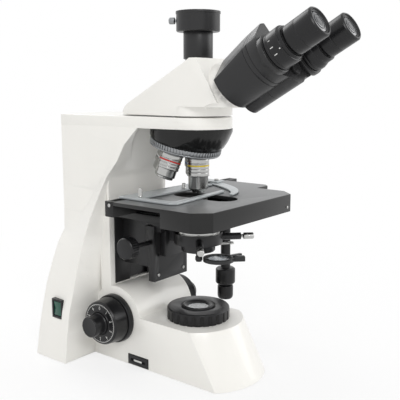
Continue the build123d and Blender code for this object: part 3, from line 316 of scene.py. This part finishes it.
def turn(name, outline, centre, axis, segments=72, closed=False):
    """Turn a piece: a circle is extruded and scaled from one (radius, height) point, in mm, to the next."""
    free()
    radius, height = outline[0]
    bpy.ops.mesh.primitive_circle_add(vertices=segments, radius=radius * mm, location=(0, 0, height * mm))
    piece = bpy.context.object
    piece.name = name
    bpy.ops.object.transform_apply(location=True)
    bpy.ops.object.mode_set(mode="EDIT")
    bpy.ops.mesh.select_mode(type="EDGE")
    bpy.ops.mesh.select_all(action="SELECT")
    points = outline[1:] + ([outline[0]] if closed else [])
    for next_radius, next_height in points:
        bpy.ops.mesh.extrude_edges_move(
            TRANSFORM_OT_translate={"value": (0, 0, (next_height - height) * mm)}
        )
        ratio = next_radius / radius
        bpy.ops.transform.resize(value=(ratio, ratio, 1), center_override=(0, 0, next_height * mm))
        radius, height = next_radius, next_height
    bpy.ops.mesh.select_all(action="SELECT")
    bpy.ops.mesh.remove_doubles(threshold=0.000002)
    if not closed:
        bpy.ops.mesh.fill_holes(sides=0)
    bpy.ops.mesh.select_all(action="SELECT")
    bpy.ops.mesh.normals_make_consistent(inside=False)
    bpy.ops.object.mode_set(mode="OBJECT")
    turnabout = Vector(axis).to_track_quat("Z", "Y").to_matrix().to_4x4()
    piece.matrix_world = Matrix.Translation(centre) @ turnabout
    settle(piece)
    return piece


def fit(piece, body, finish, nodes=(), width=0.0004, segments=2, angle=30):
    """Round a new piece's edges, finish it and let it ride on its body."""
    soften(piece, width, segments, angle)
    give(piece, finish)
    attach(piece, body)
    if nodes:
        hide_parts(*nodes)
    return piece


bodies = {node: body for body, nodes in frame["record"]["behaviour"]["bodies"].items() for node in nodes}

plain_nodes = {
    enamel: ["arm_top_plate"],
    black_paint: [
        "base_cover", "guide_plate", "condenser_guide", "condenser_body", "condenser_holder",
        "filter_holder", "photo_tube", "camera_flange", "field_lens_mount", "stage_bracket",
    ],
    stage_black: ["stage_base", "stage_plate", "x_rail"],
    black_plastic: [
        "head_lock_screw", "field_collar", "switch_bezel", "brightness_plate", "mains_inlet",
        "condenser_knob", "splitter_rod",
    ],
    rubber: ["rubber_feet"],
    steel: [
        "x_carriage", "centring_screw_left", "centring_screw_right", "iris_lever",
    ],
    plate_steel: ["slide_holder", "spring_finger"],
    chrome: ["holder_screws"],
    grey_metal: ["port_screw"],
    green_plastic: ["switch_rocker"],
}
shapes = {}
for finish, nodes in plain_nodes.items():
    for node in nodes:
        shapes[node] = dress(node, bodies[node], finish)


def repaint(piece, finish, chosen):
    """Give a second finish to the faces that the test chooses."""
    piece.data.materials.append(finish.material)
    for face in piece.data.polygons:
        if chosen(face):
            face.material_index = len(piece.data.materials) - 1


# The stage's upward faces take this lighter grey as a painted reflection.
repaint(shapes["stage_plate"], stage_top, lambda face: face.normal.z > 0.95)
repaint(shapes["stage_base"], stage_top, lambda face: face.normal.z > 0.95)
repaint(
    shapes["condenser_holder"], chrome, lambda face: face.center.z > 157 * mm and face.center.xy.length < 26.9 * mm
)
repaint(
    shapes["condenser_body"], chrome, lambda face: face.center.z > 158 * mm and face.center.xy.length > 21 * mm
)
for node, finish in (
    ("field_lens", glass), ("condenser_lens", glass), ("objective_lenses", glass), ("lamp", glass),
    ("filter_glass", filter_clear),
):
    dress(node, bodies[node], finish, width=0.0)

dress("stand_casting", "stand", enamel, width=0.0014, segments=3, angle=35)
dress("nosepiece_shell", "stand", shell_black, width=0.0006)
head = dress("head_body", "head", enamel, width=0.0016, segments=3, angle=35)
repaint(head, black_paint, lambda face: (face.center - eye_point).dot(tube_axis) > (housing_back - 0.4) * mm)

# The prism housings: each lobe has a flat upper face with a crease, painted lighter grey as a painted reflection, and
# two fine grooves round it.
lobe_centre = Vector((16.5, 7.0))
crease_back, crease_front = (37.3, 14.9), (36.7, 26.2)


def in_head(x, up, along):
    """A point by its place across, above and along the eyepiece tubes, in mm."""
    return eye_point + Vector((x * mm, 0, 0)) + tube_up * up * mm + tube_axis * along * mm


def cut(piece, point, normal, keep_all=False):
    """Cut a piece by a plane: the part in front of it goes and the cut is closed, or all stays."""
    only(piece)
    bpy.ops.object.mode_set(mode="EDIT")
    bpy.ops.mesh.select_all(action="SELECT")
    bpy.ops.mesh.bisect(
        plane_co=point, plane_no=normal, use_fill=not keep_all, clear_outer=not keep_all, threshold=0.000001
    )
    bpy.ops.object.mode_set(mode="OBJECT")


for side, node in ((-1, "prism_housing_left"), (1, "prism_housing_right")):
    housing = dress(node, bodies[node], black_paint, width=0.0)
    back = in_head(side * crease_back[0], crease_back[1], -118)
    front = in_head(side * crease_front[0], crease_front[1], -58)
    slope = Vector((-side * math.cos(math.radians(36)), 0, 0)) + tube_up * math.sin(math.radians(36))
    normal = (front - back).cross(slope).normalized()
    if normal.dot(tube_up) < 0:
        normal.negate()
    cut(housing, back, normal)
    for low, high in ((-76.8, -76.2), (-71.7, -71.1)):
        cut(housing, in_head(0, 0, low), tube_axis, keep_all=True)
        cut(housing, in_head(0, 0, high), tube_axis, keep_all=True)
        only(housing)
        bpy.ops.object.mode_set(mode="EDIT")
        bpy.ops.mesh.select_mode(type="FACE")
        bpy.ops.mesh.select_all(action="DESELECT")
        bpy.ops.object.mode_set(mode="OBJECT")
        for face in housing.data.polygons:
            arm = face.center - eye_point
            spot = Vector((side * arm.x / mm, arm.dot(tube_up) / mm)) - lobe_centre
            outside = face.normal.dot(face.center - in_head(side * 16.5, 7.0, -74)) > 0 and spot.length > 22
            face.select = low < arm.dot(tube_axis) / mm < high and outside and spot.x > -12
        bpy.ops.object.mode_set(mode="EDIT")
        bpy.ops.mesh.extrude_region_shrink_fatten(TRANSFORM_OT_shrink_fatten={"value": -0.45 * mm})
        bpy.ops.object.mode_set(mode="OBJECT")
    soften(housing, 0.0003)
    # The flat upper faces take the lighter grey as a painted reflection.
    repaint(housing, facet_painted_reflection, lambda face: abs(face.normal.dot(normal)) > 0.99)


# Focus knobs, left and right

def along_x(side):
    return Vector((side, 0, 0))


for side in (-1, 1):
    word = "left" if side < 0 else "right"
    coarse = turn(
        f"coarse_knob_{word}",
        [
            (9.2, 54.1), (25.6, 54.1), (26.4, 54.9), (26.3, 56.5), (24.9, 70.2), (25.0, 70.9), (24.2, 72.2),
            (23.5, 73.2), (23.0, 73.2), (22.6, 72.8), (14.6, 72.8), (14.2, 73.6), (13.3, 73.6), (13.3, 71.0),
            (9.2, 71.0),
        ],
        focus_centre, along_x(side), segments=96,
    )
    fit(coarse, "coarse_drive", black_plastic, ["coarse_knobs"], width=0.0002)
    fine = turn(
        f"fine_knob_{word}",
        [
            (4.0, 71.4), (12.6, 71.4), (12.6, 74.6), (11.9, 75.4), (11.7, 80.0), (11.9, 88.0), (11.4, 89.0),
            (10.6, 89.4), (10.2, 89.1),
        ],
        focus_centre, along_x(side), segments=72,
    )
    fit(fine, "fine_drive", black_plastic, ["fine_knobs"], width=0.0002)

sleeve = turn("coarse_sleeve", [(9.0, -54.0), (9.0, 54.0)], focus_centre, along_x(1), segments=48)
fit(sleeve, "coarse_drive", steel, ["coarse_knobs"])

for side, node, body in ((-1, "tension_ring", "tension"), (1, "focus_collar", "stand")):
    ring = turn(
        node + "_turned",
        [
            (9.4, 47.1), (28.2, 47.1), (28.4, 47.8), (28.2, 52.6), (27.8, 53.5), (27.2, 53.7), (25.6, 53.7),
            (25.2, 53.2), (9.4, 53.2),
        ],
        focus_centre, along_x(side), segments=96, closed=True,
    )
    fit(ring, body, black_plastic, [node], width=0.0002)

# The dial's white ring, its strokes and its figures.
dial_x = -72.8 - 0.06
white_ring = turn(
    "dial_ring", [(21.75, 72.75), (22.2, 72.75), (22.2, 72.9), (21.75, 72.9)], focus_centre, along_x(-1),
    segments=96, closed=True,
)
fit(white_ring, "coarse_drive", mark_white, width=0.0)


def dial_stroke(name, angle, inner, outer, breadth):
    """One printed stroke that points away from the dial's middle."""
    free()
    bpy.ops.mesh.primitive_plane_add(size=1)
    stroke = bpy.context.object
    stroke.name = name
    stroke.scale = (breadth * mm, (outer - inner) * mm, 1)
    settle(stroke)
    bpy.ops.object.mode_set(mode="EDIT")
    bpy.ops.mesh.select_all(action="SELECT")
    bpy.ops.mesh.extrude_region_move(TRANSFORM_OT_translate={"value": (0, 0, 0.12 * mm)})
    bpy.ops.mesh.select_all(action="SELECT")
    bpy.ops.mesh.normals_make_consistent(inside=False)
    bpy.ops.object.mode_set(mode="OBJECT")
    upright = Matrix(((0, 0, -1, dial_x * mm), (-1, 0, 0, 0), (0, 1, 0, 0), (0, 0, 0, 1)))
    lift = Matrix.Translation((0, (inner + outer) / 2 * mm, 0))
    spin = Matrix.Rotation(angle, 4, "Z")
    stroke.matrix_world = Matrix.Translation((0, focus_centre.y, focus_centre.z)) @ upright @ spin @ lift
    settle(stroke)
    return stroke


def joined(name, pieces):
    only(pieces[0])
    for piece in pieces:
        piece.select_set(True)
    bpy.context.view_layer.objects.active = pieces[0]
    bpy.ops.object.join()
    whole = bpy.context.object
    whole.name = name
    return whole


strokes = []
for index in range(50):
    long = index % 5 == 0
    angle = math.radians(index * 360 / 50)
    strokes.append(dial_stroke("stroke", angle, 20.0 if long else 20.7, 21.5, 0.32 if long else 0.22))
marks = joined("dial_strokes", strokes)
fit(marks, "coarse_drive", mark_white, width=0.0)

figures = []
for number in range(10):
    free()
    bpy.ops.object.text_add()
    figure = bpy.context.object
    figure.data.body = str(number)
    figure.data.size = 4.6 * mm
    figure.data.align_x = "CENTER"
    figure.data.align_y = "CENTER"
    figure.data.extrude = 0.06 * mm
    figure.data.resolution_u = 4
    bpy.ops.object.convert(target="MESH")
    figure = bpy.context.object
    upright = Matrix(((0, 0, -1, dial_x * mm), (-1, 0, 0, 0), (0, 1, 0, 0), (0, 0, 0, 1)))
    angle = math.radians(-36 * number)
    around = Matrix.Rotation(angle, 4, "Z") @ Matrix.Translation((0, 17.6 * mm, 0))
    figure.matrix_world = Matrix.Translation((0, focus_centre.y, focus_centre.z)) @ upright @ around
    settle(figure)
    figures.append(figure)
numbers = joined("dial_figures", figures)
fit(numbers, "coarse_drive", mark_white, width=0.0)


# Objectives

def objective_place(place):
    """The seat's centre and the way one objective points."""
    angle = math.radians(90 * place)
    outward = turret_back * -math.cos(angle) + Vector((-1, 0, 0)) * math.sin(angle)
    direction = turret_down * math.cos(turret_lean) + outward * math.sin(turret_lean)
    return turret_centre + outward * 20 * mm, direction


def objective(node, place, ring_finish, ring_low, lower):
    """A barrel with a grooved top, a colour ring, two grooves and a stepped nose."""
    centre, direction = objective_place(place)
    top = [(7.9, -3.8), (7.9, 1.05), (12.1, 1.05), (12.1, 5.6), (11.7, 5.8), (11.7, 6.2), (12.1, 6.4)]
    band = [
        (12.1, ring_low), (11.85, ring_low + 0.1), (11.85, ring_low + 1.6), (12.1, ring_low + 1.7),
    ]
    barrel = turn(node + "_barrel", top + band + lower, centre, direction, segments=72)
    fit(barrel, "nosepiece", chrome, [node], width=0.00015)
    ring = turn(
        node + "_colour_ring",
        [
            (11.8, ring_low + 0.12), (12.12, ring_low + 0.12), (12.12, ring_low + 1.58), (11.8, ring_low + 1.58),
        ],
        centre, direction, segments=72, closed=True,
    )
    fit(ring, "nosepiece", ring_finish, width=0.0001)


objective("objective_10x", 0, ring_yellow, 7.6, [
    (12.1, 11.6), (11.7, 11.8), (11.7, 12.3), (12.1, 12.5), (12.1, 15.4), (11.7, 15.6), (11.7, 16.1),
    (12.1, 16.3), (12.1, 20.0), (10.9, 20.6), (10.9, 33.6),
    (10.4, 34.2), (9.2, 34.6), (9.0, 35.6), (6.9, 36.0), (6.6, 37.9), (5.8, 38.2), (3.0, 38.2), (2.4, 37.6),
])
objective("objective_4x", 1, ring_red, 7.2, [
    (12.1, 10.6), (11.7, 10.8), (11.7, 11.3), (12.1, 11.5), (12.1, 14.2), (11.7, 14.4), (11.7, 14.9),
    (12.1, 15.1), (12.1, 17.0), (10.9, 17.6), (10.9, 25.2),
    (10.2, 25.9), (9.4, 26.2), (9.2, 28.0), (8.4, 28.5), (4.0, 28.5), (3.4, 27.6),
])
objective("objective_100x", 2, ring_white, 12.0, [
    (12.1, 15.0), (11.8, 15.2), (11.8, 15.7), (12.1, 15.9), (12.1, 19.0), (10.9, 19.6), (10.9, 28.8),
    (6.4, 32.8), (6.2, 35.4), (5.8, 36.8), (3.2, 38.2), (2.4, 38.0),
])
objective("objective_40x", 3, ring_blue, 12.0, [
    (12.1, 15.0), (11.8, 15.2), (11.8, 15.7), (12.1, 15.9), (12.1, 18.0), (10.9, 18.6), (10.9, 27.8),
    (6.6, 31.8), (5.4, 34.6), (5.0, 36.8), (3.4, 38.2), (2.4, 38.0),
])


# Eyepieces, their tubes and the diopter ring

for side in (-1, 1):
    word = "left" if side < 0 else "right"
    body = word + "_ocular"
    foot = eye_point + Vector((side * 31.25 * mm, 0, 0))
    tube = turn(
        f"tube_{word}",
        [
            (11.0, -63.9), (12.98, -63.9), (12.98, -58), (20.4, -58), (20.4, -53.6), (20.0, -53.2), (19.4, -53.1), (19.4, -52.2), (14.3, -52.2),
            (14.3, -33.1), (11.0, -33.1),
        ],
        foot, tube_axis, segments=80, closed=True,
    )
    fit(tube, body, black_paint, [f"eyepiece_tube_{word}"], width=0.0002)
    collar = turn(
        f"tube_collar_{word}",
        [(19.4, -53.2), (20.15, -53.2), (20.15, -52.7), (19.4, -52.4)],
        foot, tube_axis, segments=80, closed=True,
    )
    fit(collar, body, shell_black, width=0.0001)
    waist = [(18.8, -36.6), (18.5, -36.1), (17.2, -35.9)] if side < 0 else [(18.8, -45.6), (17.3, -41.0), (16.9, -40.6)]
    sleeve = turn(
        f"sleeve_{word}",
        [
            (14.35, -51.6), (18.6, -51.6), (18.8, -51.2), (18.8, -49.4), (18.5, -49.1), (18.5, -48.6),
            (18.8, -48.3), *waist, (16.7, -33.6), (16.4, -33.3), (14.35, -33.3),
        ],
        foot, tube_axis, segments=80, closed=True,
    )
    if side < 0:
        fit(sleeve, "diopter", black_plastic, ["diopter_ring"], width=0.0002)
    else:
        fit(sleeve, body, black_plastic, width=0.0002)
    eyepiece = turn(
        f"eyepiece_barrel_{word}",
        [
            (10.95, -47.5), (10.95, -33.0), (13.7, -33.0), (13.7, -31.4), (14.9, -31.2), (15.2, -30.7),
            (15.2, -19.4), (15.0, -19.2), (15.0, -18.6), (15.2, -18.4), (15.2, -1.8), (14.7, -1.1), (13.6, -0.1),
            (12.9, -0.1), (12.4, -0.5), (12.1, -1.6), (10.6, -2.4), (10.4, -3.4),
        ],
        foot, tube_axis, segments=80,
    )
    fit(eyepiece, body, black_plastic, [f"eyepiece_{word}"], width=0.0002)
    lens = turn(
        f"eye_lens_glass_{word}",
        [(9.9, -2.5), (9.9, -1.9), (8.0, -1.55), (5.0, -1.3), (2.0, -1.2), (0.6, -1.2)],
        foot, tube_axis, segments=64,
    )
    fit(lens, body, coated_glass, [f"eye_lens_{word}"], width=0.0)
    for radius in (4.2, 7.0):
        ring = turn(
            f"eye_lens_ring_{word}_{radius}",
            [(radius, -1.7), (radius, -1.0), (radius + 0.35, -1.05), (radius + 0.35, -1.75)],
            foot, tube_axis, segments=48, closed=True,
        )
        fit(ring, body, stage_top, width=0.0)


# Nosepiece grip, stage control, filter handle, marks and small screws

turret_plate = turn(
    "turret_plate",
    [
        (5.0, -17.6), (5.0, -11.0), (37.2, -11.0), (37.2, -6.4), (39.4, -6.0), (39.6, -5.2), (39.2, -4.4),
        (38.4, -4.0), (16.0, -2.2), (10.0, -2.0),
    ],
    turret_centre, turret_down, segments=96,
)
fit(turret_plate, "nosepiece", grey_metal, ["turret"], width=0.0002)
grip = turn(
    "turret_grip", [(37.0, -11.0), (38.7, -11.0), (38.7, -6.3), (37.0, -6.3)], turret_centre, turret_down,
    segments=144, closed=True,
)
only(grip)
bpy.ops.object.mode_set(mode="EDIT")
bpy.ops.mesh.select_mode(type="FACE")
bpy.ops.mesh.select_all(action="DESELECT")
bpy.ops.object.mode_set(mode="OBJECT")
for face in grip.data.polygons:
    arm = face.center - turret_centre
    flat = arm - turret_down * arm.dot(turret_down)
    outside = face.normal.dot(flat.normalized()) > 0.9 and flat.length > 38 * mm
    around = math.degrees(math.atan2(flat.x, flat.dot(turret_back)))
    face.select = outside and round(around / 2.5 - 0.5) % 2 == 0
bpy.ops.object.mode_set(mode="EDIT")
bpy.ops.mesh.extrude_region_shrink_fatten(TRANSFORM_OT_shrink_fatten={"value": 1.25 * mm})
bpy.ops.mesh.select_all(action="SELECT")
bpy.ops.mesh.normals_make_consistent(inside=False)
bpy.ops.object.mode_set(mode="OBJECT")
fit(grip, "nosepiece", grey_metal, width=0.0002)
for place in range(4):
    centre, direction = objective_place(place)
    seat = turn(
        f"objective_seat_{place}", [(12.7, -6.0), (12.7, 0.9), (8.1, 0.9), (8.1, -6.0)], centre, direction,
        segments=64, closed=True,
    )
    fit(seat, "nosepiece", grey_metal, width=0.0002)

control_foot = Vector((105.2, 38.0, 0)) * mm
upper_knob = turn(
    "y_knob_turned",
    [
        (2.6, 65.4), (9.4, 65.4), (12.5, 68.4), (12.6, 69.2), (12.6, 85.2), (12.2, 86.4), (10.1, 87.9), (6.3, 88.2),
        (6.2, 89.0), (6.2, 194.1), (2.6, 194.1),
    ],
    control_foot, (0, 0, 1), segments=72, closed=True,
)
fit(upper_knob, "y_control", black_plastic, ["y_drive_knob"], width=0.0002)
lower_knob = turn(
    "x_knob_turned",
    [
        (5.6, 46.1), (8.2, 46.9), (9.6, 48.6), (10.1, 51.2), (10.1, 62.9), (9.8, 63.9), (8.3, 64.9), (2.5, 65.0),
        (2.5, 194.1),
    ],
    control_foot, (0, 0, 1), segments=72,
)
fit(lower_knob, "x_control", black_plastic, ["x_drive_knob"], width=0.0002)


def bar(name, low, high, body, finish, turned=0.0, about=(0, 0), width=0.0004):
    """A block between two corners in mm, turned about an upright line."""
    free()
    size = [(b - a) * mm for a, b in zip(low, high)]
    bpy.ops.mesh.primitive_cube_add(size=1)
    piece = bpy.context.object
    piece.name = name
    piece.scale = size
    settle(piece)
    middle = Vector([(a + b) / 2 * mm for a, b in zip(low, high)])
    centre = Vector((about[0] * mm, about[1] * mm, 0))
    place = Matrix.Translation(centre) @ Matrix.Rotation(math.radians(turned), 4, "Z")
    piece.matrix_world = place @ Matrix.Translation(middle - centre)
    settle(piece)
    return fit(piece, body, finish, width=width)


bar("filter_handle", (8.5, -48.5, 128.6), (21.5, -41.5, 134.4), "filter_swing", black_paint, -45, (15, -45), 0.0008)

handle = bar("brightness_handle", (-48.0, 44.5, 6.7), (-47.36, 56.5, 8.9), "brightness", mark_white)
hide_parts("brightness_slider")


def small_screw(name, spot, axis, radius, body):
    """A raised round screw head with a socket."""
    head = turn(
        name,
        [
            (radius, -0.2), (radius, 0.5), (radius * 0.85, 0.8), (radius * 0.5, 0.85), (radius * 0.45, 0.3),
            (radius * 0.1, 0.25),
        ],
        Vector(spot) * mm, axis, segments=28,
    )
    fit(head, body, steel, width=0.0)


small_screw("rail_end_screw", (-86.7, 50.6, 194.5), (-1, 0, 0), 1.9, "y_stage")
small_screw("apron_screw", (66.0, -74.4, 184.6), (0, -1, 0), 1.6, "y_stage")
for screw_x in (-22, 22):
    small_screw(f"guide_screw_{screw_x}", (screw_x, 40.0, 106.0), (0, -1, 0), 1.9, "stage_carrier")

# Marks of the diopter ring: two strokes, a short one above and a dot.
left_foot = in_head(-31.25, 0, 0)
for name, along, around, long, broad in (
    ("stroke_upper", -45.0, -178, 3.4, 0.8), ("stroke_lower", -44.6, -156, 3.4, 0.8),
    ("stroke_top", -45.4, 160, 2.2, 0.7), ("dot", -38.2, -164, 1.1, 1.1),
):
    free()
    bpy.ops.mesh.primitive_cube_add(size=1)
    mark = bpy.context.object
    mark.name = "diopter_" + name
    mark.scale = (0.5 * mm, broad * mm, long * mm)
    settle(mark)
    angle = math.radians(around)
    outward = Vector((math.cos(angle), 0, 0)) + tube_up * math.sin(angle)
    sideways = tube_axis.cross(outward)
    turned_to = Matrix((outward, sideways, tube_axis)).transposed().to_4x4()
    mark.matrix_world = Matrix.Translation(left_foot + outward * 18.65 * mm + tube_axis * along * mm) @ turned_to
    settle(mark)
    fit(mark, "diopter", mark_white, width=0.0)


# Stage, light and camera

def area_light(name, place, target, size, power):
    light = bpy.data.lights.new(name, "AREA")
    light.shape = "DISK"
    light.size = size
    light.energy = power
    lamp = bpy.data.objects.new(name, light)
    lamp.location = place
    lamp.rotation_euler = (Vector(target) - Vector(place)).to_track_quat("-Z", "Y").to_euler()
    bpy.context.collection.objects.link(lamp)


def show_white(tree, shader_output, target, glow_type, share=None):
    """Show white where a camera, glossy or transmission ray looks, as far as the share says."""
    path = tree.nodes.new("ShaderNodeLightPath")
    glow = tree.nodes.new(glow_type)
    glow.inputs["Color"].default_value = (1, 1, 1, 1)
    glow.inputs["Strength"].default_value = 1.0
    seen = path.outputs["Is Camera Ray"]
    for other in ("Is Glossy Ray", "Is Transmission Ray"):
        either = tree.nodes.new("ShaderNodeMath")
        either.operation = "MAXIMUM"
        tree.links.new(seen, either.inputs[0])
        tree.links.new(path.outputs[other], either.inputs[1])
        seen = either.outputs[0]
    if share is not None:
        part = tree.nodes.new("ShaderNodeMath")
        part.operation = "MULTIPLY"
        tree.links.new(seen, part.inputs[0])
        tree.links.new(share.socket, part.inputs[1])
        seen = part.outputs[0]
    mix = tree.nodes.new("ShaderNodeMixShader")
    tree.links.new(seen, mix.inputs[0])
    tree.links.new(shader_output, mix.inputs[1])
    tree.links.new(glow.outputs[0], mix.inputs[2])
    tree.links.new(mix.outputs[0], target)


free()
bpy.ops.mesh.primitive_plane_add(size=24, location=(0, 0, 0))
floor = bpy.context.object
floor.name = "floor"
floor_finish = Finish("pale_floor", (0.95, 0.95, 0.95), 0.8)
reach = floor_finish.node("ShaderNodeVectorMath", {"operation": "LENGTH"}, floor_finish.place, out="Value")
fade = floor_finish.node("ShaderNodeMapRange", {"interpolation_type": "SMOOTHSTEP"}, reach, 0.16, 0.8, 0.72, 1.0)
show_white(
    floor_finish.tree, floor_finish.shader.outputs[0], floor_finish.output.inputs[0], "ShaderNodeEmission", fade
)
give(floor, floor_finish)

world = bpy.data.worlds.new("studio")
bpy.context.scene.world = world
world.use_nodes = True
sky = world.node_tree.nodes["Background"]
sky.inputs["Color"].default_value = (1, 1, 1, 1)
sky.inputs["Strength"].default_value = 0.66
show_white(
    world.node_tree, sky.outputs[0], world.node_tree.nodes["World Output"].inputs[0], "ShaderNodeBackground"
)

area_light("key", (-1.3, -1.6, 1.7), (0, 0, 0.2), 1.2, 22)
area_light("fill", (1.6, -1.2, 0.9), (0, 0, 0.2), 1.4, 9)
area_light("rim", (0.3, 1.6, 1.5), (0, 0, 0.2), 1.2, 10)

camera_data = bpy.data.cameras.new("camera")
camera_data.sensor_width = 36
camera_data.lens = 59.576
camera = bpy.data.objects.new("camera", camera_data)
camera.location = (-0.5664, -0.4445, 0.3182)
pitch = math.radians(9.80)
heading = Vector((0.7883, 0.6152, 0)).normalized() * math.cos(pitch) + Vector((0, 0, -math.sin(pitch)))
camera.rotation_euler = heading.to_track_quat("-Z", "Y").to_euler()
bpy.context.collection.objects.link(camera)
bpy.context.scene.camera = camera
bpy.context.scene.view_settings.view_transform = "Standard"
